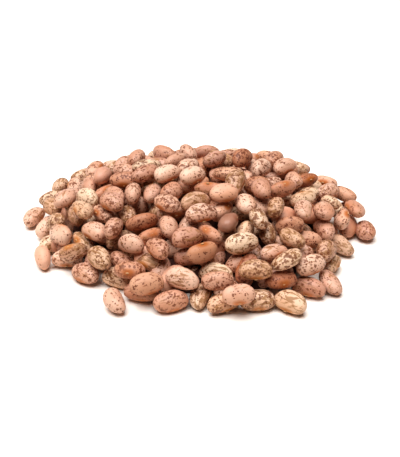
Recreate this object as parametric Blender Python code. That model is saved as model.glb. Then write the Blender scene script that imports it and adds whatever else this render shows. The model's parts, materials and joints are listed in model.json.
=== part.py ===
# A loose heap of dried speckled beans on a flat surface, as one solid, in metres with +Z up.
# The beans are laid one after another by a packing rule, and those that show are fused to a core.

import math

import bmesh
import bpy
import numpy as np
from mathutils import Matrix, Vector, geometry

MM = 0.001

# One dried bean: length, width from its back to its eye, and thickness, and how much each varies.
# Its middle bows towards the back and its ends curl towards the eye.
BEAN_SIZE = np.array([13.2, 9.1, 7.2]) * MM
BEAN_SPREAD = np.array([0.07, 0.06, 0.07])
BEAN_FULLNESS = 2.5
BEAN_BOW = 0.41 * MM
BEAN_CURL = 0.98 * MM
BALL_STATIONS = (-0.55, -0.2, 0.2, 0.55)

# The heap as it lies: half its length and depth, its height, and the height of its rim.
HEAP_HALF_LENGTH = 78 * MM
HEAP_HALF_DEPTH = 70 * MM
HEAP_HEIGHT = 33.4 * MM
HEAP_RIM = 6.5 * MM
HEAP_FULLNESS = 2.2
HEAP_SEED = 14

# Where the foot of the heap runs out or falls back: direction, how far, and how wide in degrees.
FOOT_BULGES = (
    (-133, -6 * MM, 14),
    (-62, 5 * MM, 16),
    (-22, -7 * MM, 14),
    (38, 3 * MM, 20),
    (95, -4 * MM, 25),
    (150, 4 * MM, 18),
)

# Beans of the foot that lie apart: place in mm, and turn, rise and roll in degrees.
FOOT_BEANS = (
    (-78.0, 8.0, 70, 5, 15),
    (-69.5, -3.0, 60, 12, 30),
    (-64.0, -17.5, 35, 0, 20),
    (-56.0, -30.5, 0, 0, 25),
    (-46.5, -43.0, -38, 0, 30),
    (-32.5, -63.0, 112, 6, 20),
    (-22.6, -56.5, -8, 0, 32),
    (-10.7, -63.6, 18, 0, 40),
    (1.0, -59.5, 68, 10, 10),
    (9.6, -64.3, 28, 0, 30),
    (22.8, -63.0, 4, 0, 30),
    (35.5, -64.3, -38, 0, 30),
    (44.0, -53.5, -24, 0, 30),
    (53.2, -49.5, 108, 8, 20),
    (63.0, -19.5, 118, 10, 20),
    (68.6, -2.2, 78, 16, 10),
    (76.4, -5.2, 84, 0, 0),
)

# How a bean finds its place: the grid that shows where the heap is low, how a bean lies at first
# (its turn from the slope's level line, rise and roll), and the search for a pocket. A bean may
# stand a little proud of the outline or spill out of the foot. Deep gaps get a sunk bean at the end.
CELL = 2.5 * MM
GRID_HALF = 1.2 * HEAP_HALF_LENGTH
CHANCE = 1.2 * MM
CROWDING = 4.4 * MM
DISCOURAGED = 3.0 * MM
TOUCH_REACH = 1.25 * BEAN_SIZE[0]
LIE = np.radians([[55], [10], [35]])
TILT_COST = 3.0 * MM
START_SHIFT = 1.2 * MM
SETTLE_ROUNDS = 7
SETTLE_TRIES = 24
SETTLE_SHIFT = 2.4 * MM
SETTLE_TURN = math.radians(38)
SETTLE_SHRINK = 0.72
STAND_PROUD = 4.5 * MM
SPILL = 1.5 * MM
DEEP_GAP = 12.5 * MM
PLUG_SINK = 11.0 * MM
PLUG_SHIFT = 2.2 * MM
PLUG_TRIES = 120
PLUG_LIE = np.radians([[90], [25], [60]])

# The solid: how many of the beans that show are fused on, their sides and rings, and the core.
SHOWN_BEANS = 196
BEAN_SIDES = 5
BEAN_RINGS = 3
FLAT_SIDE_EASE = 1.05
VIEW_PIXEL = 1.0 * MM
VIEW_WIDTH = 3 * HEAP_HALF_LENGTH
VIEW_DIRECTIONS = 8
VIEW_RISE = math.radians(25)
CORE_STEP = 3.5 * MM
CORE_REACH = 21 * MM
CORE_SINK = 1.8 * MM
CORE_MERGE = 0.001 * MM
FLOOR_GAP = 0.15 * MM
SEED_COAT = (0.48, 0.27, 0.17, 1.0)
SEED_COAT_ROUGHNESS = 0.4


def bean_section(along):
    """Half width, half thickness and sideways bow at a share of a bean's half length."""
    full = np.sqrt(np.maximum(1 - np.abs(along) ** BEAN_FULLNESS, 0))
    bow = BEAN_BOW - BEAN_CURL * along ** 2
    return BEAN_SIZE[1] / 2 * full, BEAN_SIZE[2] / 2 * full, bow


def bean_balls(size):
    """The balls that stand for one bean while it is laid, two at each station along it."""
    centres = []
    radii = []
    for along in BALL_STATIONS:
        half_width, half_thick, bow = bean_section(along)
        beside = (half_width * size[1] - half_thick * size[2]) * (1 - 0.6 * along ** 2)
        for side in (-1, 1):
            centres.append((along * BEAN_SIZE[0] / 2 * size[0], bow + side * beside, 0.0))
            radii.append(half_thick * size[2])
    return np.array(centres), np.array(radii)


def turns_about(vectors):
    """Rotation matrices about axis vectors whose lengths are the angles."""
    angles = np.linalg.norm(vectors, axis=1)
    x, y, z = (vectors / np.maximum(angles, 1e-9)[:, None]).T
    zero = np.zeros_like(x)
    cross = np.stack([zero, -z, y, z, zero, -x, -y, x, zero], axis=1).reshape(-1, 3, 3)
    sines = np.sin(angles)[:, None, None]
    versines = (1 - np.cos(angles))[:, None, None]
    return np.eye(3) + sines * cross + versines * (cross @ cross)


def lying_turns(turn, rise, roll):
    """Rotations of beans that are rolled about their length, raised at one end and turned."""
    still = np.zeros_like(turn)
    turned = turns_about(np.stack([still, still, turn], axis=1))
    raised = turns_about(np.stack([still, -rise, still], axis=1))
    rolled = turns_about(np.stack([roll, still, still], axis=1))
    return turned @ raised @ rolled


def drop_heights(balls, radii, spots, turns, others, other_radii):
    """Height at which a bean, lowered at each spot in each turn, meets the floor or a laid bean."""
    reach = np.einsum("kij,sj->ksi", turns, balls)
    height = np.max(radii - reach[:, :, 2], axis=1)
    if len(others) == 0:
        return height
    across = spots[:, None, :] + reach[:, :, :2]
    apart = ((across[:, :, None, :] - others[None, None, :, :2]) ** 2).sum(axis=3)
    touch = (radii[:, None] + other_radii[None, :]) ** 2
    rise = others[:, 2] + np.sqrt(np.maximum(touch - apart, 0)) - reach[:, :, None, 2]
    rise = np.where(apart < touch, rise, 0.0)
    return np.maximum(height, rise.max(axis=(1, 2)))


def foot_radius(direction):
    """Distance from the middle of the heap to its foot, in a direction in radians."""
    along = np.cos(direction) / HEAP_HALF_LENGTH
    across = np.sin(direction) / HEAP_HALF_DEPTH
    radius = 1 / np.hypot(along, across)
    for middle, far, width in FOOT_BULGES:
        turn = np.degrees(direction) - middle
        turn = (turn + 180) % 360 - 180
        radius = radius + far * np.exp(-(turn / width) ** 2)
    return radius


def heap_top(x, y):
    """Height of the heap's outline over a place on the floor, and zero past its foot."""
    share = np.hypot(x, y) / foot_radius(np.arctan2(y, x))
    dome = HEAP_RIM + (HEAP_HEIGHT - HEAP_RIM) * (1 - np.minimum(share, 1) ** HEAP_FULLNESS)
    return np.where(share < 1, dome, 0.0)


class Heap:
    """The beans laid so far, with the balls that stand for them."""

    def __init__(self):
        self.rng = np.random.default_rng(HEAP_SEED)
        self.places = []
        self.turns = []
        self.sizes = []
        self.balls = np.zeros((0, 3))
        self.radii = np.zeros(0)
        self.owners = np.zeros(0, dtype=int)
        side = int(GRID_HALF / CELL)
        self.grid = np.arange(-side, side + 1) * CELL
        self.grid_x, self.grid_y = np.meshgrid(self.grid, self.grid, indexing="ij")
        self.outline = heap_top(self.grid_x, self.grid_y)
        self.gap = self.outline.copy()
        self.tried = np.zeros_like(self.gap)

    def near(self, spot):
        """The balls that a bean at this spot can touch."""
        return np.hypot(*(self.balls[:, :2] - spot).T) < TOUCH_REACH

    def add(self, place, turn, size):
        """Lay one bean and note how much room it leaves above it."""
        place = np.round(place, 6)
        turn = np.round(turn, 6)
        balls, radii = bean_balls(size)
        balls = balls @ turn.T + place
        self.owners = np.concatenate([self.owners, np.full(len(radii), len(self.places))])
        self.balls = np.concatenate([self.balls, balls])
        self.radii = np.concatenate([self.radii, radii])
        self.places.append(place)
        self.turns.append(turn)
        self.sizes.append(size)
        for centre, radius in zip(balls, radii):
            apart = (self.grid_x - centre[0]) ** 2 + (self.grid_y - centre[1]) ** 2
            top = centre[2] + np.sqrt(np.maximum(radius ** 2 - apart, 0))
            left = np.minimum(self.gap, self.outline - top)
            self.gap = np.where(apart < radius ** 2, left, self.gap)

    def lay_by_hand(self, x, y, turn, rise, roll):
        """Lower one bean straight down to the floor in the turn that it is given."""
        size = 1 + BEAN_SPREAD * self.rng.uniform(-1, 1, 3)
        spot = np.array([[x, y]]) * MM
        turned = lying_turns(*np.radians([[turn], [rise], [roll]]))
        balls, radii = bean_balls(size)
        height = drop_heights(balls, radii, spot, turned, self.balls[:0], self.radii[:0])
        self.add(np.array([*spot[0], height[0]]), turned[0], size)

    def settle(self, spot, size):
        """Lower a bean near a spot and let it shift and roll into the deepest pocket it finds."""
        balls, radii = bean_balls(size)
        spots = spot + self.rng.normal(0, START_SHIFT, (SETTLE_TRIES, 2))
        around = math.atan2(spot[1], spot[0]) + math.pi / 2
        turns = lying_turns(*(self.rng.normal(0, 1, (3, SETTLE_TRIES)) * LIE + [[around], [0], [0]]))
        shift, angle = SETTLE_SHIFT, SETTLE_TURN
        for _ in range(SETTLE_ROUNDS):
            near = self.near(spots[0])
            others, other_radii = self.balls[near], self.radii[near]
            heights = drop_heights(balls, radii, spots, turns, others, other_radii)
            lift = heights - heap_top(*spots.T) + TILT_COST * np.abs(turns[:, 2, 0])
            best = int(np.argmin(lift))
            place = np.array([*spots[best], heights[best]])
            turn = turns[best]
            spots = place[:2] + self.rng.normal(0, shift, (SETTLE_TRIES, 2))
            turns = turns_about(self.rng.normal(0, angle / math.sqrt(3), (SETTLE_TRIES, 3))) @ turn
            spots[0], turns[0] = place[:2], turn
            shift, angle = shift * SETTLE_SHRINK, angle * SETTLE_SHRINK
        top = place[2] + np.max(balls @ turn[2] + radii)
        reach = place[:2] + (balls @ turn.T)[:, :2]
        out = np.hypot(*reach.T) + radii - foot_radius(np.arctan2(reach[:, 1], reach[:, 0]))
        fits = top < heap_top(*place[:2]) + STAND_PROUD and out.max() < SPILL
        return place, turn, fits

    def fill(self):
        """Lay beans where the heap is furthest below its outline until it is full."""
        while True:
            wish = self.gap - self.tried + self.rng.normal(0, CHANCE, self.gap.shape)
            row, column = np.unravel_index(np.argmax(wish), wish.shape)
            if wish[row, column] < CROWDING:
                return
            spot = np.array([self.grid[row], self.grid[column]])
            spot = spot + self.rng.uniform(-0.5, 0.5, 2) * CELL
            size = 1 + BEAN_SPREAD * self.rng.uniform(-1, 1, 3)
            place, turn, fits = self.settle(spot, size)
            if fits:
                self.add(place, turn, size)
            else:
                self.tried[row, column] += DISCOURAGED

    def plug(self):
        """Set a bean into each deep gap that is left, well below the beans round it."""
        self.tried[:] = 0
        gap = np.where(self.outline > 0, self.gap, 0.0)
        while gap.max() > DEEP_GAP:
            row, column = np.unravel_index(np.argmax(gap), gap.shape)
            spot = np.array([self.grid[row], self.grid[column]])
            size = 1 + BEAN_SPREAD * self.rng.uniform(-1, 1, 3)
            balls, radii = bean_balls(size)
            near = self.near(spot)
            spots = spot + self.rng.normal(0, PLUG_SHIFT, (PLUG_TRIES, 2))
            turns = lying_turns(*(self.rng.normal(0, 1, (3, PLUG_TRIES)) * PLUG_LIE))
            heights = drop_heights(balls, radii, spots, turns, self.balls[near], self.radii[near])
            best = int(np.argmin(heights))
            sunk = min(heights[best], heap_top(*spots[best]) - PLUG_SINK)
            floor = drop_heights(balls, radii, spots, turns, self.balls[:0], self.radii[:0])[best]
            if floor < sunk:
                self.add(np.array([*spots[best], sunk]), turns[best], size)
            self.tried[row, column] = HEAP_HEIGHT
            gap = np.where(self.outline > 0, self.gap - self.tried, 0.0)

    def beans_that_show(self):
        """How much of each bean shows from above and from all round, in pixels."""
        seen = np.zeros(len(self.places), dtype=int)
        for view in range(VIEW_DIRECTIONS + 1):
            turn = 2 * math.pi * view / VIEW_DIRECTIONS
            rise = math.pi / 2 if view == VIEW_DIRECTIONS else VIEW_RISE
            right = np.array([-math.sin(turn), math.cos(turn), 0])
            towards = np.array([math.cos(rise) * math.cos(turn), math.cos(rise) * math.sin(turn),
                                math.sin(rise)])
            up = np.cross(towards, right)
            flat = np.stack([self.balls @ right, self.balls @ up, self.balls @ towards], axis=1)
            size = int(VIEW_WIDTH / VIEW_PIXEL)
            depth = np.full((size, size), -1.0)
            front = np.full((size, size), -1)
            for (across, height, near), radius, owner in zip(flat, self.radii, self.owners):
                low = np.floor((np.array([across, height]) - radius) / VIEW_PIXEL).astype(int)
                low = low + size // 2
                span = np.arange(int(2 * radius / VIEW_PIXEL) + 2)
                columns, rows = np.meshgrid(low[0] + span, low[1] + span, indexing="ij")
                apart = (((columns - size // 2) * VIEW_PIXEL - across) ** 2
                         + ((rows - size // 2) * VIEW_PIXEL - height) ** 2)
                bulge = near + np.sqrt(np.maximum(radius ** 2 - apart, 0))
                wins = (apart < radius ** 2) & (bulge > depth[columns, rows])
                depth[columns[wins], rows[wins]] = bulge[wins]
                front[columns[wins], rows[wins]] = owner
            seen += np.bincount(front[front >= 0], minlength=len(seen))
        return seen


def lay_heap():
    """The whole heap: the beans laid by hand at its foot, then the rest, and its middle moved home."""
    heap = Heap()
    for bean in FOOT_BEANS:
        heap.lay_by_hand(*bean)
    heap.fill()
    heap.plug()
    low = np.min(heap.balls - heap.radii[:, None], axis=0)
    high = np.max(heap.balls + heap.radii[:, None], axis=0)
    home = np.array([*((low + high) / 2)[:2], 0.0])
    heap.places = [place - home for place in heap.places]
    heap.balls = heap.balls - home
    return heap


def closed_mesh(name, rings, lowest, highest):
    """A closed mesh from rings of points that run round it, between two end points."""
    mesh = bpy.data.meshes.new(name)
    shape = bmesh.new()
    loops = [[shape.verts.new(point) for point in ring] for ring in rings]
    ends = shape.verts.new(lowest), shape.verts.new(highest)
    count = len(loops[0])
    for at in range(count):
        after = (at + 1) % count
        shape.faces.new((ends[0], loops[0][after], loops[0][at]))
        shape.faces.new((ends[1], loops[-1][at], loops[-1][after]))
        for lower, upper in zip(loops, loops[1:]):
            shape.faces.new((lower[at], lower[after], upper[after], upper[at]))
    bmesh.ops.triangulate(shape, faces=shape.faces[:])
    bmesh.ops.recalc_face_normals(shape, faces=shape.faces[:])
    shape.to_mesh(mesh)
    shape.free()
    return mesh


def bean_mesh(name, place, turn, size):
    """One bean with few sides, at its true size, where it lies."""
    stations = np.sin(math.pi * (np.arange(1, BEAN_RINGS + 1) / (BEAN_RINGS + 1) - 0.5))
    rounds = 2 * math.pi * np.arange(BEAN_SIDES) / BEAN_SIDES
    rings = []
    for along in stations:
        half_width, half_thick, bow = bean_section(along)
        ring = np.stack([
            np.full(BEAN_SIDES, along * BEAN_SIZE[0] / 2),
            bow + FLAT_SIDE_EASE * half_width * np.cos(rounds),
            FLAT_SIDE_EASE * half_thick * np.sin(rounds),
        ], axis=1)
        rings.append(ring)
    ends = np.array([(side * BEAN_SIZE[0] / 2, bean_section(1.0)[2], 0.0) for side in (-1, 1)])
    points = [(group * size) @ turn.T + place for group in (*rings, ends)]
    for group in points:
        group[:, 2] = np.maximum(group[:, 2], FLOOR_GAP)
    return closed_mesh(name, points[:-1], points[-1][0], points[-1][1])


def core_mesh(places):
    """The core: a faceted mound that passes just below the middle of each bean fused to it."""
    order = np.argsort(-places[:, 2], kind="stable")
    kept = []
    for place in places[order]:
        if all(np.hypot(*(place - other)[:2]) > CORE_STEP for other in kept):
            kept.append(place)
    flat = [Vector(place[:2]) for place in kept]
    flat, _, faces = geometry.delaunay_2d_cdt(flat, [], [], 0, CORE_MERGE)[:3]
    mesh = bpy.data.meshes.new("core")
    shape = bmesh.new()
    points = [shape.verts.new((*spot, place[2] - CORE_SINK)) for spot, place in zip(flat, kept)]
    for face in faces:
        sides = [(flat[face[at]] - flat[face[at - 1]]).length for at in range(3)]
        if max(sides) < CORE_REACH:
            shape.faces.new([points[corner] for corner in face])
    loose = [vert for vert in shape.verts if not vert.link_faces]
    bmesh.ops.delete(shape, geom=loose, context="VERTS")
    grown = bmesh.ops.extrude_face_region(shape, geom=shape.faces[:])["geom"]
    for vert in grown:
        if isinstance(vert, bmesh.types.BMVert):
            vert.co.z = 0.0
    bottom = [face for face in grown if isinstance(face, bmesh.types.BMFace)]
    bmesh.ops.dissolve_faces(shape, faces=bottom)
    bmesh.ops.triangulate(shape, faces=shape.faces[:])
    bmesh.ops.recalc_face_normals(shape, faces=shape.faces[:])
    shape.to_mesh(mesh)
    shape.free()
    return mesh


def keep_largest_body(mesh):
    """Take away sealed hollows and loose scraps, which are bodies of their own after the union."""
    shape = bmesh.new()
    shape.from_mesh(mesh)
    left = set(shape.verts)
    bodies = []
    while left:
        edge = [left.pop()]
        body = list(edge)
        while edge:
            reached = {end for vert in edge for link in vert.link_edges for end in link.verts}
            edge = list(reached & left)
            left -= reached
            body.extend(edge)
        bodies.append(body)
    bodies.sort(key=len)
    for body in bodies[:-1]:
        bmesh.ops.delete(shape, geom=body, context="VERTS")
    bmesh.ops.triangulate(shape, faces=shape.faces[:])
    shape.to_mesh(mesh)
    shape.free()


def seed_coat_material():
    """The matt-satin coat of a dried bean, in its middle colour."""
    material = bpy.data.materials.new("seed coat")
    material.use_nodes = True
    shader = material.node_tree.nodes["Principled BSDF"]
    shader.inputs["Base Color"].default_value = SEED_COAT
    shader.inputs["Roughness"].default_value = SEED_COAT_ROUGHNESS
    return material


def build_heap():
    """Fuse the beans that show to the core, as the one solid of the heap."""
    heap = lay_heap()
    seen = heap.beans_that_show()
    shown = np.argsort(-seen, kind="stable")[:SHOWN_BEANS]
    places = np.array([heap.places[bean] for bean in shown])
    core = bpy.data.objects.new("bean_heap", core_mesh(places))
    bpy.context.scene.collection.objects.link(core)
    helpers = bpy.data.collections.new("beans to fuse")
    bpy.context.scene.collection.children.link(helpers)
    for bean in shown:
        mesh = bean_mesh("bean", heap.places[bean], heap.turns[bean], heap.sizes[bean])
        helpers.objects.link(bpy.data.objects.new("bean", mesh))
    fuse = core.modifiers.new("fuse", "BOOLEAN")
    fuse.operation = "UNION"
    fuse.operand_type = "COLLECTION"
    fuse.collection = helpers
    fuse.solver = "EXACT"
    bpy.context.view_layer.update()
    fused = bpy.data.meshes.new_from_object(core.evaluated_get(bpy.context.evaluated_depsgraph_get()))
    core.modifiers.remove(fuse)
    for helper in list(helpers.objects):
        bpy.data.objects.remove(helper)
    bpy.data.collections.remove(helpers)
    keep_largest_body(fused)
    corners = np.array([vert.co for vert in fused.vertices])
    middle = (corners.min(axis=0) + corners.max(axis=0)) / 2
    fused.transform(Matrix.Translation((-middle[0], -middle[1], 0.0)))
    fused.name = "bean_heap"
    fused.materials.clear()
    fused.materials.append(seed_coat_material())
    core.data = fused


for leftover in list(bpy.data.objects):
    bpy.data.objects.remove(leftover)
build_heap()
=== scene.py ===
# A loose heap of dried speckled beans on a white surface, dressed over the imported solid.
import json
import math
import bmesh
import bpy
import numpy as np
from mathutils import Matrix, Vector

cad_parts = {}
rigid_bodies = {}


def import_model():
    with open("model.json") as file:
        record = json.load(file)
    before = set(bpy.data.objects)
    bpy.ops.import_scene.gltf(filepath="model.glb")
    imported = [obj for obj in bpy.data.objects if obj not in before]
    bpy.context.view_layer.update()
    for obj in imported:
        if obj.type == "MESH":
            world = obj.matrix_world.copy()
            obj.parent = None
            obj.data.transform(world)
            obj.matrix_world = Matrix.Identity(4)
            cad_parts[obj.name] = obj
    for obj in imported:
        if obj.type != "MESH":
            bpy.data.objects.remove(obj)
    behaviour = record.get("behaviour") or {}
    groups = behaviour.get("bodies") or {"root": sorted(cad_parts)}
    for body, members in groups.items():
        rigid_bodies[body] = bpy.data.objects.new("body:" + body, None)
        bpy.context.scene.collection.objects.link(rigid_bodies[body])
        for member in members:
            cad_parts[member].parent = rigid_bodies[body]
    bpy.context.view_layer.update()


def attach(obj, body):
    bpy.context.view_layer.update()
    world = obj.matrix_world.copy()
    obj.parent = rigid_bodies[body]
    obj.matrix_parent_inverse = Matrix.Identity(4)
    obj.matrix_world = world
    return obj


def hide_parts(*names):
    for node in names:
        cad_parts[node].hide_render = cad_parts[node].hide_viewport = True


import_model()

# The camera stands low in front of the heap, as near as a short telephoto would be.
# It looks down at the photograph's angle, so that front beans are half as large again as back ones.
MM = 0.001
PHOTO_SIZE = (400, 457)
CAMERA_RISE = math.radians(28.0)
CAMERA_DISTANCE = 335 * MM
CAMERA_FOCAL_PIXELS = 725
CAMERA_AIM = Vector((1.7, 0.0, 3.0)) * MM

camera_data = bpy.data.cameras.new("camera")
camera_data.lens = CAMERA_FOCAL_PIXELS / PHOTO_SIZE[1] * camera_data.sensor_width
camera_data.clip_start = 10 * MM
camera = bpy.data.objects.new("camera", camera_data)
bpy.context.scene.collection.objects.link(camera)
camera_back = Vector((0, -math.cos(CAMERA_RISE), math.sin(CAMERA_RISE)))
camera.location = CAMERA_AIM + camera_back * CAMERA_DISTANCE
camera.rotation_euler = (math.pi / 2 - CAMERA_RISE, 0, 0)
bpy.context.scene.camera = camera

# How the beans lie. Some at the foot are laid first, one by one from a list, where the photograph
# shows them apart.
# Each of the others is lowered where the heap is still low, and rolls into a pocket. At the end a
# bean is sunk into each deep gap. It is the solid's own rule, so each bean covers its stand-in.
BEAN_SIZE = np.array([13.2, 9.1, 7.2]) * MM
BEAN_SPREAD = np.array([0.07, 0.06, 0.07])
BEAN_FULLNESS = 2.5
BEAN_BOW = 0.41 * MM
BEAN_CURL = 0.98 * MM
BALL_STATIONS = (-0.55, -0.2, 0.2, 0.55)
HEAP_HALF_LENGTH = 78 * MM
HEAP_HALF_DEPTH = 70 * MM
HEAP_HEIGHT = 33.4 * MM
HEAP_RIM = 6.5 * MM
HEAP_FULLNESS = 2.2
HEAP_SEED = 14
FOOT_BULGES = (
    (-133, -6 * MM, 14),
    (-62, 5 * MM, 16),
    (-22, -7 * MM, 14),
    (38, 3 * MM, 20),
    (95, -4 * MM, 25),
    (150, 4 * MM, 18),
)
FOOT_BEANS = (
    (-78.0, 8.0, 70, 5, 15),
    (-69.5, -3.0, 60, 12, 30),
    (-64.0, -17.5, 35, 0, 20),
    (-56.0, -30.5, 0, 0, 25),
    (-46.5, -43.0, -38, 0, 30),
    (-32.5, -63.0, 112, 6, 20),
    (-22.6, -56.5, -8, 0, 32),
    (-10.7, -63.6, 18, 0, 40),
    (1.0, -59.5, 68, 10, 10),
    (9.6, -64.3, 28, 0, 30),
    (22.8, -63.0, 4, 0, 30),
    (35.5, -64.3, -38, 0, 30),
    (44.0, -53.5, -24, 0, 30),
    (53.2, -49.5, 108, 8, 20),
    (63.0, -19.5, 118, 10, 20),
    (68.6, -2.2, 78, 16, 10),
    (76.4, -5.2, 84, 0, 0),
)
CELL = 2.5 * MM
GRID_HALF = 1.2 * HEAP_HALF_LENGTH
CHANCE = 1.2 * MM
CROWDING = 4.4 * MM
DISCOURAGED = 3.0 * MM
TOUCH_REACH = 1.25 * BEAN_SIZE[0]
LIE = np.radians([[55], [10], [35]])
TILT_COST = 3.0 * MM
START_SHIFT = 1.2 * MM
SETTLE_ROUNDS = 7
SETTLE_TRIES = 24
SETTLE_SHIFT = 2.4 * MM
SETTLE_TURN = math.radians(38)
SETTLE_SHRINK = 0.72
STAND_PROUD = 4.5 * MM
SPILL = 1.5 * MM
DEEP_GAP = 12.5 * MM
PLUG_SINK = 11.0 * MM
PLUG_SHIFT = 2.2 * MM
PLUG_TRIES = 120
PLUG_LIE = np.radians([[90], [25], [60]])


def bean_section(along):
    """Half width, half thickness and sideways bow at a share of a bean's half length."""
    full = np.sqrt(np.maximum(1 - np.abs(along) ** BEAN_FULLNESS, 0))
    bow = BEAN_BOW - BEAN_CURL * along ** 2
    return BEAN_SIZE[1] / 2 * full, BEAN_SIZE[2] / 2 * full, bow


def bean_balls(size):
    """The balls that stand for one bean while it is laid, two at each station along it."""
    centres = []
    radii = []
    for along in BALL_STATIONS:
        half_width, half_thick, bow = bean_section(along)
        beside = (half_width * size[1] - half_thick * size[2]) * (1 - 0.6 * along ** 2)
        for side in (-1, 1):
            centres.append((along * BEAN_SIZE[0] / 2 * size[0], bow + side * beside, 0.0))
            radii.append(half_thick * size[2])
    return np.array(centres), np.array(radii)


def turns_about(vectors):
    """Rotation matrices about axis vectors whose lengths are the angles."""
    angles = np.linalg.norm(vectors, axis=1)
    x, y, z = (vectors / np.maximum(angles, 1e-9)[:, None]).T
    zero = np.zeros_like(x)
    cross = np.stack([zero, -z, y, z, zero, -x, -y, x, zero], axis=1).reshape(-1, 3, 3)
    sines = np.sin(angles)[:, None, None]
    versines = (1 - np.cos(angles))[:, None, None]
    return np.eye(3) + sines * cross + versines * (cross @ cross)


def lying_turns(turn, rise, roll):
    """Rotations of beans that are rolled about their length, raised at one end and turned."""
    still = np.zeros_like(turn)
    turned = turns_about(np.stack([still, still, turn], axis=1))
    raised = turns_about(np.stack([still, -rise, still], axis=1))
    rolled = turns_about(np.stack([roll, still, still], axis=1))
    return turned @ raised @ rolled


def drop_heights(balls, radii, spots, turns, others, other_radii):
    """Height at which a bean, lowered at each spot in each turn, meets the floor or a laid bean."""
    reach = np.einsum("kij,sj->ksi", turns, balls)
    height = np.max(radii - reach[:, :, 2], axis=1)
    if len(others) == 0:
        return height
    across = spots[:, None, :] + reach[:, :, :2]
    apart = ((across[:, :, None, :] - others[None, None, :, :2]) ** 2).sum(axis=3)
    touch = (radii[:, None] + other_radii[None, :]) ** 2
    rise = others[:, 2] + np.sqrt(np.maximum(touch - apart, 0)) - reach[:, :, None, 2]
    rise = np.where(apart < touch, rise, 0.0)
    return np.maximum(height, rise.max(axis=(1, 2)))


def foot_radius(direction):
    """Distance from the middle of the heap to its foot, in a direction in radians."""
    along = np.cos(direction) / HEAP_HALF_LENGTH
    across = np.sin(direction) / HEAP_HALF_DEPTH
    radius = 1 / np.hypot(along, across)
    for middle, far, width in FOOT_BULGES:
        turn = np.degrees(direction) - middle
        turn = (turn + 180) % 360 - 180
        radius = radius + far * np.exp(-(turn / width) ** 2)
    return radius


def heap_top(x, y):
    """Height of the heap's outline over a place on the floor, and zero past its foot."""
    share = np.hypot(x, y) / foot_radius(np.arctan2(y, x))
    dome = HEAP_RIM + (HEAP_HEIGHT - HEAP_RIM) * (1 - np.minimum(share, 1) ** HEAP_FULLNESS)
    return np.where(share < 1, dome, 0.0)


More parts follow.
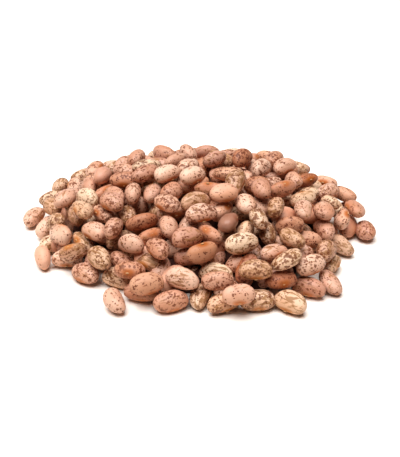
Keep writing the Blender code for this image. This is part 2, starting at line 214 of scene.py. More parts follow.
class Heap:
    """The beans laid so far, with the balls that stand for them."""

    def __init__(self):
        self.rng = np.random.default_rng(HEAP_SEED)
        self.places = []
        self.turns = []
        self.sizes = []
        self.balls = np.zeros((0, 3))
        self.radii = np.zeros(0)
        side = int(GRID_HALF / CELL)
        self.grid = np.arange(-side, side + 1) * CELL
        self.grid_x, self.grid_y = np.meshgrid(self.grid, self.grid, indexing="ij")
        self.outline = heap_top(self.grid_x, self.grid_y)
        self.gap = self.outline.copy()
        self.tried = np.zeros_like(self.gap)

    def near(self, spot):
        """The balls that a bean at this spot can touch."""
        return np.hypot(*(self.balls[:, :2] - spot).T) < TOUCH_REACH

    def add(self, place, turn, size):
        """Lay one bean and note how much room it leaves above it."""
        place = np.round(place, 6)
        turn = np.round(turn, 6)
        balls, radii = bean_balls(size)
        balls = balls @ turn.T + place
        self.balls = np.concatenate([self.balls, balls])
        self.radii = np.concatenate([self.radii, radii])
        self.places.append(place)
        self.turns.append(turn)
        self.sizes.append(size)
        for centre, radius in zip(balls, radii):
            apart = (self.grid_x - centre[0]) ** 2 + (self.grid_y - centre[1]) ** 2
            top = centre[2] + np.sqrt(np.maximum(radius ** 2 - apart, 0))
            left = np.minimum(self.gap, self.outline - top)
            self.gap = np.where(apart < radius ** 2, left, self.gap)

    def lay_by_hand(self, x, y, turn, rise, roll):
        """Lower one bean straight down to the floor in the turn that it is given."""
        size = 1 + BEAN_SPREAD * self.rng.uniform(-1, 1, 3)
        spot = np.array([[x, y]]) * MM
        turned = lying_turns(*np.radians([[turn], [rise], [roll]]))
        balls, radii = bean_balls(size)
        height = drop_heights(balls, radii, spot, turned, self.balls[:0], self.radii[:0])
        self.add(np.array([*spot[0], height[0]]), turned[0], size)

    def settle(self, spot, size):
        """Lower a bean near a spot and let it shift and roll into the deepest pocket it finds."""
        balls, radii = bean_balls(size)
        spots = spot + self.rng.normal(0, START_SHIFT, (SETTLE_TRIES, 2))
        around = math.atan2(spot[1], spot[0]) + math.pi / 2
        turns = lying_turns(*(self.rng.normal(0, 1, (3, SETTLE_TRIES)) * LIE + [[around], [0], [0]]))
        shift, angle = SETTLE_SHIFT, SETTLE_TURN
        for _ in range(SETTLE_ROUNDS):
            near = self.near(spots[0])
            others, other_radii = self.balls[near], self.radii[near]
            heights = drop_heights(balls, radii, spots, turns, others, other_radii)
            lift = heights - heap_top(*spots.T) + TILT_COST * np.abs(turns[:, 2, 0])
            best = int(np.argmin(lift))
            place = np.array([*spots[best], heights[best]])
            turn = turns[best]
            spots = place[:2] + self.rng.normal(0, shift, (SETTLE_TRIES, 2))
            turns = turns_about(self.rng.normal(0, angle / math.sqrt(3), (SETTLE_TRIES, 3))) @ turn
            spots[0], turns[0] = place[:2], turn
            shift, angle = shift * SETTLE_SHRINK, angle * SETTLE_SHRINK
        top = place[2] + np.max(balls @ turn[2] + radii)
        reach = place[:2] + (balls @ turn.T)[:, :2]
        out = np.hypot(*reach.T) + radii - foot_radius(np.arctan2(reach[:, 1], reach[:, 0]))
        fits = top < heap_top(*place[:2]) + STAND_PROUD and out.max() < SPILL
        return place, turn, fits

    def fill(self):
        """Lay beans where the heap is furthest below its outline until it is full."""
        while True:
            wish = self.gap - self.tried + self.rng.normal(0, CHANCE, self.gap.shape)
            row, column = np.unravel_index(np.argmax(wish), wish.shape)
            if wish[row, column] < CROWDING:
                return
            spot = np.array([self.grid[row], self.grid[column]])
            spot = spot + self.rng.uniform(-0.5, 0.5, 2) * CELL
            size = 1 + BEAN_SPREAD * self.rng.uniform(-1, 1, 3)
            place, turn, fits = self.settle(spot, size)
            if fits:
                self.add(place, turn, size)
            else:
                self.tried[row, column] += DISCOURAGED

    def plug(self):
        """Set a bean into each deep gap that is left, well below the beans round it."""
        self.tried[:] = 0
        gap = np.where(self.outline > 0, self.gap, 0.0)
        while gap.max() > DEEP_GAP:
            row, column = np.unravel_index(np.argmax(gap), gap.shape)
            spot = np.array([self.grid[row], self.grid[column]])
            size = 1 + BEAN_SPREAD * self.rng.uniform(-1, 1, 3)
            balls, radii = bean_balls(size)
            near = self.near(spot)
            spots = spot + self.rng.normal(0, PLUG_SHIFT, (PLUG_TRIES, 2))
            turns = lying_turns(*(self.rng.normal(0, 1, (3, PLUG_TRIES)) * PLUG_LIE))
            heights = drop_heights(balls, radii, spots, turns, self.balls[near], self.radii[near])
            best = int(np.argmin(heights))
            sunk = min(heights[best], heap_top(*spots[best]) - PLUG_SINK)
            floor = drop_heights(balls, radii, spots, turns, self.balls[:0], self.radii[:0])[best]
            if floor < sunk:
                self.add(np.array([*spots[best], sunk]), turns[best], size)
            self.tried[row, column] = HEAP_HEIGHT
            gap = np.where(self.outline > 0, self.gap - self.tried, 0.0)


heap = Heap()
for foot_bean in FOOT_BEANS:
    heap.lay_by_hand(*foot_bean)
heap.fill()
heap.plug()
heap_low = np.min(heap.balls - heap.radii[:, None], axis=0)
heap_high = np.max(heap.balls + heap.radii[:, None], axis=0)
HEAP_HOME = np.array([*((heap_low + heap_high) / 2)[:2], 0.0])
bean_places = np.array(heap.places) - HEAP_HOME
bean_turns = np.array(heap.turns)
bean_sizes = np.array(heap.sizes)

# The bean shapes: a kidney with a flat to hollow belly, blunt ends and shallow drying dents.
# Each is a cage of a few dozen faces that one subdivision rounds. Lengths are shares of half a
# bean, and the coat's own places on it, in millimetres, ride along for the markings.
SHAPE_COUNT = 9
CAGE_SIDES = 8
CAGE_RINGS = 5
CAGE_SWELL = 1.075
DENT_DEPTH = 0.055
SHAPE_LEAN = 0.07
SHAPE_CURL = (0.3, 1.5)
SHAPE_SEED = 5
SHAPE_STEP = 7
shape_rng = np.random.default_rng(SHAPE_SEED)


def cage_mesh(name, rings, ends):
    """A closed cage from rings of points between two end points."""
    mesh = bpy.data.meshes.new(name)
    shape = bmesh.new()
    loops = [[shape.verts.new(point) for point in ring] for ring in rings]
    tips = [shape.verts.new(point) for point in ends]
    count = len(loops[0])
    for at in range(count):
        after = (at + 1) % count
        shape.faces.new((tips[0], loops[0][after], loops[0][at]))
        shape.faces.new((tips[1], loops[-1][at], loops[-1][after]))
        for lower, upper in zip(loops, loops[1:]):
            shape.faces.new((lower[at], lower[after], upper[after], upper[at]))
    bmesh.ops.recalc_face_normals(shape, faces=shape.faces[:])
    shape.to_mesh(mesh)
    shape.free()
    return mesh


def bean_shape(name):
    """One bean in shares of its half sizes, with its dents and its coat's places."""
    stations = np.sin(math.pi * (np.arange(1, CAGE_RINGS + 1) / (CAGE_RINGS + 1) - 0.5))
    rounds = 2 * math.pi * np.arange(CAGE_SIDES) / CAGE_SIDES
    half = BEAN_SIZE / 2
    lean = shape_rng.uniform(-SHAPE_LEAN, SHAPE_LEAN)
    curl = shape_rng.uniform(*SHAPE_CURL)
    rings = []
    for along in stations:
        half_width, half_thick, bow = bean_section(along)
        dents = 1 + DENT_DEPTH * shape_rng.normal(0, 1, CAGE_SIDES)
        blunt = 1 + lean * along
        ring = np.stack([
            np.full(CAGE_SIDES, along * half[0]) * CAGE_SWELL,
            bow * curl + CAGE_SWELL * blunt * half_width * np.cos(rounds) * dents,
            CAGE_SWELL * blunt * half_thick * np.sin(rounds) * dents,
        ], axis=1)
        rings.append(ring)
    tip_bow = bean_section(1.0)[2] * curl
    ends = np.array([(side * half[0] * CAGE_SWELL, tip_bow, 0.0) for side in (-1, 1)])
    mesh = cage_mesh(name, [ring / half for ring in rings], ends / half)
    coat = mesh.attributes.new("coat", "FLOAT_VECTOR", "POINT")
    places = np.array([vert.co for vert in mesh.vertices]) * half / MM
    coat.data.foreach_set("vector", places.astype(np.float32).ravel())
    return mesh


bean_shapes = bpy.data.collections.new("bean shapes")
for number in range(SHAPE_COUNT):
    shape_name = f"bean_shape_{number}"
    bean_shapes.objects.link(bpy.data.objects.new(shape_name, bean_shape(shape_name)))


# The laid beans of one kind: the shapes stand at their places, turned and sized as they lie,
# with a draw of its own on each bean for its markings, and are joined to one mesh.
def node(tree, kind, links=None, **settings):
    """Add one node with its settings, and set or link its inputs."""
    added = tree.nodes.new(kind)
    for name, value in settings.items():
        setattr(added, name, value)
    for key, value in (links or {}).items():
        if isinstance(value, bpy.types.NodeSocket):
            tree.links.new(value, added.inputs[key])
        else:
            added.inputs[key].default_value = value
    return added


def laying_tree():
    """The tree that puts a shape on each laid bean's point and makes one mesh of them."""
    tree = bpy.data.node_groups.new("laid beans", "GeometryNodeTree")
    for name, kind in (
        ("Places", "NodeSocketGeometry"),
        ("Shapes", "NodeSocketCollection"),
        ("Half sizes", "NodeSocketVector"),
        ("Coat", "NodeSocketMaterial"),
        ("Seed", "NodeSocketInt"),
        ("Rounding", "NodeSocketInt"),
    ):
        tree.interface.new_socket(name, in_out="INPUT", socket_type=kind)
    tree.interface.new_socket("Beans", in_out="OUTPUT", socket_type="NodeSocketGeometry")
    given = tree.nodes.new("NodeGroupInput").outputs
    shapes = node(tree, "GeometryNodeCollectionInfo", {"Collection": given["Shapes"],
                  "Separate Children": True, "Reset Children": True})
    turn = node(tree, "GeometryNodeInputNamedAttribute", {"Name": "turn"}, data_type="FLOAT_VECTOR")
    turned = node(tree, "FunctionNodeEulerToRotation", {0: turn.outputs[0]})
    size = node(tree, "GeometryNodeInputNamedAttribute", {"Name": "size"}, data_type="FLOAT_VECTOR")
    sized = node(tree, "ShaderNodeVectorMath", {0: size.outputs[0], 1: given["Half sizes"]},
                 operation="MULTIPLY")
    shape = node(tree, "GeometryNodeInputNamedAttribute", {"Name": "shape"}, data_type="INT")
    stood = node(tree, "GeometryNodeInstanceOnPoints", {
        "Points": given["Places"], "Instance": shapes.outputs[0], "Pick Instance": True,
        "Instance Index": shape.outputs[0], "Rotation": turned.outputs[0],
        "Scale": sized.outputs[0]})
    draw = node(tree, "FunctionNodeRandomValue", {"Seed": given["Seed"]}, data_type="FLOAT")
    drawn = node(tree, "GeometryNodeStoreNamedAttribute", {
        "Geometry": stood.outputs[0], "Name": "draw", "Value": draw.outputs[1]},
        data_type="FLOAT", domain="INSTANCE")
    real = node(tree, "GeometryNodeRealizeInstances", {0: drawn.outputs[0]})
    rounded = node(tree, "GeometryNodeSubdivisionSurface", {
        "Mesh": real.outputs[0], "Level": given["Rounding"]})
    smooth = node(tree, "GeometryNodeSetShadeSmooth", {0: rounded.outputs[0]})
    coated = node(tree, "GeometryNodeSetMaterial", {
        "Geometry": smooth.outputs[0], "Material": given["Coat"]})
    out = tree.nodes.new("NodeGroupOutput")
    tree.links.new(coated.outputs[0], out.inputs[0])
    return tree


def lay_kind(name, beans, shapes, material, seed):
    """One piece of all the laid beans of a kind, as a plain mesh on the body."""
    points = bpy.data.meshes.new(name + " places")
    points.from_pydata([tuple(place) for place in bean_places[beans]], [], [])
    turns = [Matrix(turn.tolist()).to_euler() for turn in bean_turns[beans]]
    values = {
        "turn": ("FLOAT_VECTOR", "vector", np.array(turns)),
        "size": ("FLOAT_VECTOR", "vector", bean_sizes[beans]),
        "shape": ("INT", "value", np.asarray(beans) * SHAPE_STEP % len(shapes.objects)),
    }
    for key, (kind, field, data) in values.items():
        attribute = points.attributes.new(key, kind, "POINT")
        attribute.data.foreach_set(field, np.ascontiguousarray(data).ravel())
    holder = bpy.data.objects.new(name + " places", points)
    bpy.context.scene.collection.objects.link(holder)
    laying = holder.modifiers.new("laying", "NODES")
    laying.node_group = LAYING
    sockets = {item.name: item.identifier for item in LAYING.interface.items_tree}
    laying[sockets["Shapes"]] = shapes
    laying[sockets["Half sizes"]] = tuple(BEAN_SIZE / 2)
    laying[sockets["Coat"]] = material
    laying[sockets["Seed"]] = seed
    laying[sockets["Rounding"]] = ROUNDING
    seen = holder.evaluated_get(bpy.context.evaluated_depsgraph_get())
    mesh = bpy.data.meshes.new_from_object(seen)
    holder.modifiers.remove(laying)
    bpy.data.objects.remove(holder)
    mesh.name = name
    for vert in mesh.vertices:
        vert.co.z = max(vert.co.z, 0.0)
    piece = bpy.data.objects.new(name, mesh)
    bpy.context.scene.collection.objects.link(piece)
    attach(piece, "root")
    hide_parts("bean_heap")
    return piece


LAYING = laying_tree()
ROUNDING = 1


# The seed coats. A dried coat is thin, dry and satin, with a pale pink-tan ground that is
# mottled in brown: small specks, streaks along the bean, and a plain orange-brown belly patch.
def tint(hex_colour):
    """A colour from sRGB hex, as linear values for a shader."""
    channels = [int(hex_colour[at:at + 2], 16) / 255 for at in (1, 3, 5)]
    linear = [c / 12.92 if c <= 0.04045 else ((c + 0.055) / 1.055) ** 2.4 for c in channels]
    return (*linear, 1.0)


# How the markings are drawn. Scales are for each millimetre of coat, and the shifts give each bean
# a pattern and a second draw of its own.
BEAN_SHIFT = 61.0
SECOND_SHIFT = 17.0
CLOUD_SCALE = 0.16
TONE_SPREAD = 0.8
MAUVE = "#BE8D80"
MAUVE_MOST = 0.45
STREAK_STRETCH = (0.45, 1.0, 1.0)
STREAK_SCALE = 0.5
STREAK_SPREAD = 0.1
STREAK_MOST = 0.85
MARKED_SPREAD = 0.13
MARKED_LEAST = -0.05
CROWD_SCALE = 0.3
RAGGED_SCALE = 1.6
RAGGED_REACH = (0.5, 0.5, 0.5)
SPECK_SCALE = 1.1
SPECK_CROWDING = 0.8
SPECK_SPREAD = 0.34
FLECK_SCALE = 0.75
FLECK_CROWDING = 0.34
FLECK_MOST = 0.85
# How far the belly side is warmed and darkened: partly the coat's own colour and partly painted shade.
BELLY_SIDE_AND_SHADE = (1.0, -4.2)
BELLY_SIDE_AND_SHADE_MOST = 0.35
BELLY_OFFSET = (0.0, 4.0, 0.0)
BELLY_SPAN = (0.25, 0.42, 0.42)
BELLY_CLEARS = 0.8
WRINKLE_SCALE = 0.5
WRINKLE_STRENGTH = 0.35
WRINKLE_DEPTH = 0.5 * MM
COAT_ROUGHNESS = 0.45
COAT_IOR = 1.45
COAT_SPECULAR = 0.3


def seed_coat(name, pale, deep, speck, streak, belly, specks, flecks, streaks,
              roughness=COAT_ROUGHNESS):
    """A dried seed coat: ground colours, markings, belly patch, and how much of it is marked."""
    material = bpy.data.materials.new(name)
    material.use_nodes = True
    tree = material.node_tree
    shader = tree.nodes["Principled BSDF"]
    coat = node(tree, "ShaderNodeAttribute", attribute_name="coat").outputs["Vector"]
    draw = node(tree, "ShaderNodeAttribute", attribute_name="draw").outputs["Fac"]
    shift = node(tree, "ShaderNodeMath", {0: draw, 1: BEAN_SHIFT}, operation="MULTIPLY").outputs[0]
    redraw = node(tree, "ShaderNodeTexWhiteNoise", {"W": shift}, noise_dimensions="1D").outputs[0]

    # Clouds of tone across a bean, and from bean to bean, some of them turned to mauve.
    cloud = node(tree, "ShaderNodeTexNoise", {"Vector": coat, "W": shift, "Scale": CLOUD_SCALE,
                 "Detail": 2.0}, noise_dimensions="4D").outputs[0]
    tone = node(tree, "ShaderNodeMath", {0: draw, 1: TONE_SPREAD, 2: -TONE_SPREAD / 2},
                operation="MULTIPLY_ADD").outputs[0]
    ground_share = node(tree, "ShaderNodeMath", {0: cloud, 1: tone}, operation="ADD").outputs[0]
    ground_range = node(tree, "ShaderNodeMapRange", {"Value": ground_share, "From Min": 0.1,
                        "From Max": 0.9}, interpolation_type="SMOOTHSTEP").outputs[0]
    ground = node(tree, "ShaderNodeMix", {"Factor": ground_range, "A": tint(pale),
                  "B": tint(deep)}, data_type="RGBA").outputs["Result"]
    mauve_share = node(tree, "ShaderNodeMapRange", {"Value": redraw, "From Min": 0.6,
                       "From Max": 1.0, "To Max": MAUVE_MOST}).outputs[0]
    mauve = node(tree, "ShaderNodeMix", {"Factor": mauve_share, "A": ground,
                 "B": tint(MAUVE)}, data_type="RGBA").outputs["Result"]

    # Streaks and blotches of paler brown that run along the bean and round its ends.
    stretched = node(tree, "ShaderNodeVectorMath", {0: coat, 1: STREAK_STRETCH},
                     operation="MULTIPLY").outputs[0]
    streak_noise = node(tree, "ShaderNodeTexNoise", {"Vector": stretched, "W": shift,
                        "Scale": STREAK_SCALE, "Detail": 2.5, "Distortion": 1.2},
                        noise_dimensions="4D").outputs[0]
    streak_more = node(tree, "ShaderNodeMath", {0: redraw, 1: STREAK_SPREAD, 2: streaks - 0.05},
                       operation="MULTIPLY_ADD").outputs[0]
    streak_level = node(tree, "ShaderNodeMath", {0: streak_noise, 1: streak_more},
                        operation="ADD").outputs[0]
    streak_mask = node(tree, "ShaderNodeMapRange", {
        "Value": streak_level, "From Min": 0.58, "From Max": 0.69,
        "To Max": STREAK_MOST}, interpolation_type="SMOOTHSTEP").outputs[0]

    # Small round specks, a millimetre and less across, that crowd here and there, and that one
    # bean has more of than the next.
    again = node(tree, "ShaderNodeMath", {0: shift, 1: SECOND_SHIFT}, operation="ADD").outputs[0]
    marked_draw = node(tree, "ShaderNodeTexWhiteNoise", {"W": again},
                       noise_dimensions="1D").outputs[0]
    marked_more = node(tree, "ShaderNodeMath", {0: marked_draw, 1: MARKED_SPREAD, 2: MARKED_LEAST},
                       operation="MULTIPLY_ADD").outputs[0]
    crowd = node(tree, "ShaderNodeTexNoise", {"Vector": coat, "W": shift, "Scale": CROWD_SCALE},
                 noise_dimensions="4D").outputs[0]
    ragged = node(tree, "ShaderNodeTexNoise", {"Vector": coat, "W": shift, "Scale": RAGGED_SCALE},
                  noise_dimensions="4D").outputs["Color"]
    frayed = node(tree, "ShaderNodeVectorMath", {0: ragged, 1: RAGGED_REACH, 2: coat},
                  operation="MULTIPLY_ADD").outputs[0]
    speck_cells = node(tree, "ShaderNodeTexVoronoi", {"Vector": frayed, "W": shift,
                       "Scale": SPECK_SCALE}, voronoi_dimensions="4D").outputs
    speck_draw = node(tree, "ShaderNodeSeparateColor", {0: speck_cells["Color"]}).outputs[0]
    speck_size = node(tree, "ShaderNodeMath", {0: crowd, 1: SPECK_CROWDING, 2: specks - 0.32},
                      operation="MULTIPLY_ADD").outputs[0]
    speck_room = node(tree, "ShaderNodeMath", {0: speck_draw, 1: SPECK_SPREAD, 2: speck_size},
                      operation="MULTIPLY_ADD").outputs[0]
    speck_reach = node(tree, "ShaderNodeMath", {0: speck_room, 1: marked_more},
                       operation="ADD").outputs[0]
    speck_past = node(tree, "ShaderNodeMath", {0: speck_reach, 1: speck_cells["Distance"]},
                      operation="SUBTRACT").outputs[0]
    speck_dots = node(tree, "ShaderNodeMapRange", {"Value": speck_past, "From Min": -0.05,
                      "From Max": 0.07}, interpolation_type="SMOOTHSTEP").outputs[0]

    # Larger ragged flecks between them, where the specks crowd.
    fleck_noise = node(tree, "ShaderNodeTexNoise", {"Vector": frayed, "W": shift, "Scale": FLECK_SCALE,
                       "Detail": 1.5, "Roughness": 0.5}, noise_dimensions="4D").outputs[0]
    fleck_room = node(tree, "ShaderNodeMath", {0: crowd, 1: FLECK_CROWDING, 2: flecks - 0.095},
                      operation="MULTIPLY_ADD").outputs[0]
    fleck_more = node(tree, "ShaderNodeMath", {0: fleck_room, 1: marked_more},
                      operation="ADD").outputs[0]
    fleck_level = node(tree, "ShaderNodeMath", {0: fleck_noise, 1: fleck_more},
                       operation="ADD").outputs[0]
    flecked = node(tree, "ShaderNodeMapRange", {"Value": fleck_level, "From Min": 0.65,
                   "From Max": 0.78, "To Max": FLECK_MOST}, interpolation_type="SMOOTHSTEP").outputs[0]
    speck_mask = node(tree, "ShaderNodeMath", {0: speck_dots, 1: flecked},
                      operation="MAXIMUM").outputs[0]

    # The belly: warmer and darker all along its side, partly the coat's own warmer belly and partly
    # painted shade on that side, with a plain orange-brown patch round the eye that is the coat's own
    # colour.
    across = node(tree, "ShaderNodeSeparateXYZ", {0: coat}).outputs[1]
    # Partly painted shade: the belly side is darkened and warmed as if in shade, as well as for the
    # coat's own warmer belly.
    belly_side_and_shade = node(tree, "ShaderNodeMapRange", {
        "Value": across, "From Min": BELLY_SIDE_AND_SHADE[0], "From Max": BELLY_SIDE_AND_SHADE[1],
        "To Max": BELLY_SIDE_AND_SHADE_MOST}, interpolation_type="SMOOTHSTEP").outputs[0]
    belly_place = node(tree, "ShaderNodeVectorMath", {0: coat, 1: BELLY_OFFSET},
                       operation="ADD").outputs[0]
    belly_share = node(tree, "ShaderNodeVectorMath", {0: belly_place, 1: BELLY_SPAN},
                       operation="MULTIPLY").outputs[0]
    belly_far = node(tree, "ShaderNodeVectorMath", {0: belly_share},
                     operation="LENGTH").outputs["Value"]
    belly_edge = node(tree, "ShaderNodeMath", {0: cloud, 1: 1.0, 2: belly_far},
                      operation="MULTIPLY_ADD").outputs[0]
    belly_mask = node(tree, "ShaderNodeMapRange", {"Value": belly_edge, "From Min": 1.75,
                      "From Max": 0.75}, interpolation_type="SMOOTHSTEP").outputs[0]
    belly_warmth_and_shade = node(tree, "ShaderNodeMath", {0: belly_side_and_shade, 1: belly_mask},
                      operation="MAXIMUM").outputs[0]
    warmed = node(tree, "ShaderNodeMix", {"Factor": belly_warmth_and_shade, "A": mauve,
                  "B": tint(belly)}, data_type="RGBA").outputs["Result"]

    # The markings lie over the ground and thin out on the patch.
    clear = node(tree, "ShaderNodeMath", {0: belly_mask, 1: -BELLY_CLEARS, 2: 1.0},
                 operation="MULTIPLY_ADD").outputs[0]
    streaks_left = node(tree, "ShaderNodeMath", {0: streak_mask, 1: clear},
                        operation="MULTIPLY").outputs[0]
    specks_left = node(tree, "ShaderNodeMath", {0: speck_mask, 1: clear},
                       operation="MULTIPLY").outputs[0]
    streaked = node(tree, "ShaderNodeMix", {"Factor": streaks_left, "A": warmed,
                    "B": tint(streak)}, data_type="RGBA").outputs["Result"]
    marked = node(tree, "ShaderNodeMix", {"Factor": specks_left, "A": streaked,
                  "B": tint(speck)}, data_type="RGBA").outputs["Result"]
    tree.links.new(marked, shader.inputs["Base Color"])

    # Satin skin with faint drying wrinkles.
    wrinkle = node(tree, "ShaderNodeTexNoise", {"Vector": stretched, "W": shift,
                   "Scale": WRINKLE_SCALE, "Detail": 3.0}, noise_dimensions="4D").outputs[0]
    bump = node(tree, "ShaderNodeBump", {"Height": wrinkle, "Strength": WRINKLE_STRENGTH,
                "Distance": WRINKLE_DEPTH})
    tree.links.new(bump.outputs[0], shader.inputs["Normal"])
    shader.inputs["Roughness"].default_value = roughness
    shader.inputs["IOR"].default_value = COAT_IOR
    shader.inputs["Specular IOR Level"].default_value = COAT_SPECULAR
    return material


# Which bean is of which kind. Most are mottled; a rule with a fixed seed picks the others,
# and a few that stand out in the photograph are given their kind where they lie, in its pixels.
KIND_SHARES = {"mottled": 0.6, "streaked": 0.24, "ruddy": 0.1, "salmon": 0.06}
KIND_SEED = 3
KIND_REACH = 16
KIND_DEPTH_COST = 0.6
kind_rng = np.random.default_rng(KIND_SEED)
kinds = kind_rng.choice(list(KIND_SHARES), size=len(bean_places), p=list(KIND_SHARES.values()))
kinds = [str(kind) for kind in kinds]
KNOWN_KINDS = {
    "plum": ((215, 219),),
    "salmon": ((169, 274),),
    # The ruddy beans' darker, redder coat is partly their own tone and partly painted shade, set where
    # beans show a shaded side.
    "ruddy": ((204, 262), (207, 244), (139, 224), (143, 287), (276, 280)),
    "streaked": ((258, 298), (222, 299), (118, 273), (254, 256), (291, 299)),
    "mottled": ((172, 299), (235, 253), (116, 297), (369, 228), (311, 284)),
}
view_right = Vector((1, 0, 0))
view_up = view_right.cross(-camera_back)


def photo_place(place):
    """Where a point falls in the photograph's frame, in pixels, and how far it is."""
    ray = Vector(place) - camera.location
    far = -ray.dot(camera_back)
    across = PHOTO_SIZE[0] / 2 + CAMERA_FOCAL_PIXELS * ray.dot(view_right) / far
    down = PHOTO_SIZE[1] / 2 - CAMERA_FOCAL_PIXELS * ray.dot(view_up) / far
    return across, down, far


photo_places = np.array([photo_place(place) for place in bean_places])
for kind, spots in KNOWN_KINDS.items():
    for spot in spots:
        off = np.hypot(*(photo_places[:, :2] - spot).T)
        cost = off + (photo_places[:, 2] - photo_places[:, 2].min()) / MM * KIND_DEPTH_COST
        kinds[int(np.argmin(np.where(off < KIND_REACH, cost, np.inf)))] = kind

# The beans themselves, one piece for each kind of coat.
COATS = {
    "mottled": dict(pale="#E9C2AA", deep="#CB987F", speck="#744028", streak="#A4744F",
                    belly="#BA7040", specks=0.03, flecks=0.01, streaks=0.025),
    "streaked": dict(pale="#EBCBAE", deep="#D3A88A", speck="#74442A", streak="#94683F",
                     belly="#BC7840", specks=0.03, flecks=0.02, streaks=0.09),
    # The ruddy coat's darker, redder ground is partly the beans' own tone and partly painted shade of
    # their shaded sides.
    "ruddy": dict(pale="#D6A587", deep="#B47A5C", speck="#683624", streak="#8A5034",
                  belly="#AC622E", specks=0.0, flecks=0.0, streaks=0.0),
    "salmon": dict(pale="#E3B196", deep="#D1967A", speck="#7E4A32", streak="#A9704E",
                   belly="#BC7848", specks=-0.16, flecks=-0.08, streaks=-0.06),
    "plum": dict(pale="#B58A76", deep="#9A6E5A", speck="#6A4234", streak="#7A5040",
                 belly="#945E48", specks=-0.3, flecks=-0.2, streaks=-0.1, roughness=0.3),
}
bean_seed = 0
for kind, coat_values in COATS.items():
    kind_beans = [bean for bean in range(len(kinds)) if kinds[bean] == kind]
    bean_seed += 1
    coat_material = seed_coat(f"{kind} seed coat", **coat_values)
    lay_kind(f"{kind}_beans", kind_beans, bean_shapes, coat_material, bean_seed)

# The eyes: the small pale oval scar in the middle of each belly, where the bean hung in its pod.
# It is a shallow lens of dry corky tissue that stands a little out of the coat.
EYE_LENGTH = 2.3 * MM
EYE_WIDTH = 0.95 * MM
EYE_STAND = 0.35 * MM
EYE_SINK = 0.12 * MM
EYE_SIDES = 8
EYE_SEED = 9
EYE_ROUGHNESS = 0.6


def eye_shape(name):
    """The lens of one eye, in the shares of half a bean that the shapes are in."""
    half = BEAN_SIZE / 2
    belly_y = bean_section(0.0)[2] - half[1]
    rounds = 2 * math.pi * np.arange(EYE_SIDES) / EYE_SIDES
    ring = np.stack([EYE_LENGTH / 2 * np.cos(rounds), np.full(EYE_SIDES, belly_y + EYE_SINK),
                     EYE_WIDTH / 2 * np.sin(rounds)], axis=1)
    ends = np.array([(0, belly_y - EYE_STAND, 0), (0, belly_y + EYE_STAND, 0)])
    mesh = cage_mesh(name, [ring / half], ends / half)
    coat = mesh.attributes.new("coat", "FLOAT_VECTOR", "POINT")
    places = np.array([vert.co for vert in mesh.vertices]) * half / MM
    coat.data.foreach_set("vector", places.astype(np.float32).ravel())
    return mesh


eye_shapes = bpy.data.collections.new("eye shapes")
eye_shapes.objects.link(bpy.data.objects.new("eye_shape", eye_shape("eye_shape")))
eye_material = bpy.data.materials.new("corky eye")
eye_material.use_nodes = True
eye_tree = eye_material.node_tree
eye_coat = node(eye_tree, "ShaderNodeAttribute", attribute_name="coat").outputs["Vector"]
eye_noise = node(eye_tree, "ShaderNodeTexNoise", {"Vector": eye_coat, "Scale": 2.2})
eye_mix = node(eye_tree, "ShaderNodeMix", {"Factor": eye_noise.outputs[0], "A": tint("#DDB688"),
               "B": tint("#A9744A")}, data_type="RGBA")
eye_shader = eye_tree.nodes["Principled BSDF"]
eye_tree.links.new(eye_mix.outputs["Result"], eye_shader.inputs["Base Color"])
eye_shader.inputs["Roughness"].default_value = EYE_ROUGHNESS
lay_kind("bean_eyes", list(range(len(kinds))), eye_shapes, eye_material, EYE_SEED)

# The core: what is too deep in the heap to be made bean by bean, as a lumpy mound coloured a dark
# red-brown that is painted shade: the shade deep among the beans, not their own colour.
# It lies well below the beans that show, so that only shade is seen between them.
CORE_DEPTH = 15 * MM
CORE_SPOKES = 48
CORE_RINGS = 12
CORE_LUMP = 0.8 * MM
CORE_REACH = 0.74
CORE_LEAST = 1.0 * MM
CORE_GRAIN = 160.0
CORE_ROUGHNESS = 0.8
CORE_SEED = 8
core_rng = np.random.default_rng(CORE_SEED)
core_rounds = 2 * math.pi * np.arange(CORE_SPOKES) / CORE_SPOKES
core_rings = []
for core_step in range(CORE_RINGS, 0, -1):
    far = CORE_REACH * core_step / CORE_RINGS * foot_radius(core_rounds)
    ring_x, ring_y = far * np.cos(core_rounds), far * np.sin(core_rounds)
    ring_z = heap_top(ring_x, ring_y) - CORE_DEPTH + core_rng.normal(0, CORE_LUMP, CORE_SPOKES)
    ring_z = np.maximum(ring_z, CORE_LEAST)
    core_rings.append(np.stack([ring_x, ring_y, ring_z], axis=1) - HEAP_HOME)
core_foot = core_rings[0] * (1, 1, 0)
core_top = (-HEAP_HOME[0], -HEAP_HOME[1], HEAP_HEIGHT - CORE_DEPTH)
core_mesh = cage_mesh("heap_core", [core_foot, *core_rings], [(0, 0, 0), core_top])
core_mesh.shade_smooth()
core_material = bpy.data.materials.new("painted shade of inner beans")
core_material.use_nodes = True
core_tree = core_material.node_tree
core_place = node(core_tree, "ShaderNodeTexCoord").outputs["Object"]
core_noise = node(core_tree, "ShaderNodeTexNoise", {"Vector": core_place, "Scale": CORE_GRAIN})
# Painted shade: these dark red-browns stand for the shade between the inner beans.
core_painted_shade = node(core_tree, "ShaderNodeMix", {"Factor": core_noise.outputs[0],
                "A": tint("#2A0E06"), "B": tint("#562814")}, data_type="RGBA")
core_shader = core_tree.nodes["Principled BSDF"]
core_tree.links.new(core_painted_shade.outputs["Result"], core_shader.inputs["Base Color"])
core_shader.inputs["Roughness"].default_value = CORE_ROUGHNESS
core_mesh.materials.append(core_material)
core_piece = bpy.data.objects.new("heap_core", core_mesh)
bpy.context.scene.collection.objects.link(core_piece)
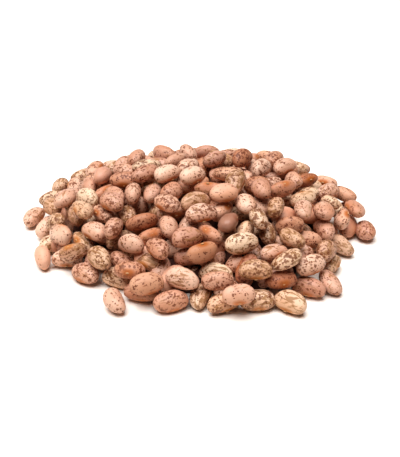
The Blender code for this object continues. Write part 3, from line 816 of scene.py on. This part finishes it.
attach(core_piece, "root")
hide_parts("bean_heap")

# The floor and the light: a plain white sweep under a broad soft light from above and in front.
# The sky adds a little fill, and is seen as white wherever the floor ends.
FLOOR_HALF = 3.0
FLOOR_DROP = 0.2 * MM
FLOOR_ROUGHNESS = 0.9
floor_mesh = bpy.data.meshes.new("floor")
floor_mesh.from_pydata([(x * FLOOR_HALF, y * FLOOR_HALF, -FLOOR_DROP)
                        for x, y in ((-1, -1), (1, -1), (1, 1), (-1, 1))], [], [(0, 1, 2, 3)])
floor_material = bpy.data.materials.new("white paper")
floor_material.use_nodes = True
floor_shader = floor_material.node_tree.nodes["Principled BSDF"]
floor_shader.inputs["Base Color"].default_value = tint("#FBF5EE")
floor_shader.inputs["Roughness"].default_value = FLOOR_ROUGHNESS
floor_mesh.materials.append(floor_material)
floor = bpy.data.objects.new("floor", floor_mesh)
bpy.context.scene.collection.objects.link(floor)

SUN_STRENGTH = 4.25
SUN_SOFTNESS = math.radians(58)
SUN_FROM = Vector((-0.15, -0.08, 1.0))
WORLD_FILL = 0.04
WORLD_SHOWN = 1.2
sun_data = bpy.data.lights.new("softbox", "SUN")
sun_data.energy = SUN_STRENGTH
sun_data.angle = SUN_SOFTNESS
sun = bpy.data.objects.new("softbox", sun_data)
sun.rotation_euler = SUN_FROM.to_track_quat("Z", "Y").to_euler()
bpy.context.scene.collection.objects.link(sun)
world = bpy.data.worlds.new("studio")
world.use_nodes = True
backdrop = world.node_tree.nodes["Background"]
backdrop.inputs["Color"].default_value = (1.0, 1.0, 1.0, 1.0)
seen_share = node(world.node_tree, "ShaderNodeLightPath").outputs["Is Camera Ray"]
glow = node(world.node_tree, "ShaderNodeMath", {0: seen_share, 1: WORLD_SHOWN, 2: WORLD_FILL},
            operation="MULTIPLY_ADD")
world.node_tree.links.new(glow.outputs[0], backdrop.inputs["Strength"])
bpy.context.scene.world = world
bpy.context.scene.view_settings.view_transform = "Standard"
bpy.context.scene.view_settings.look = "Medium High Contrast"
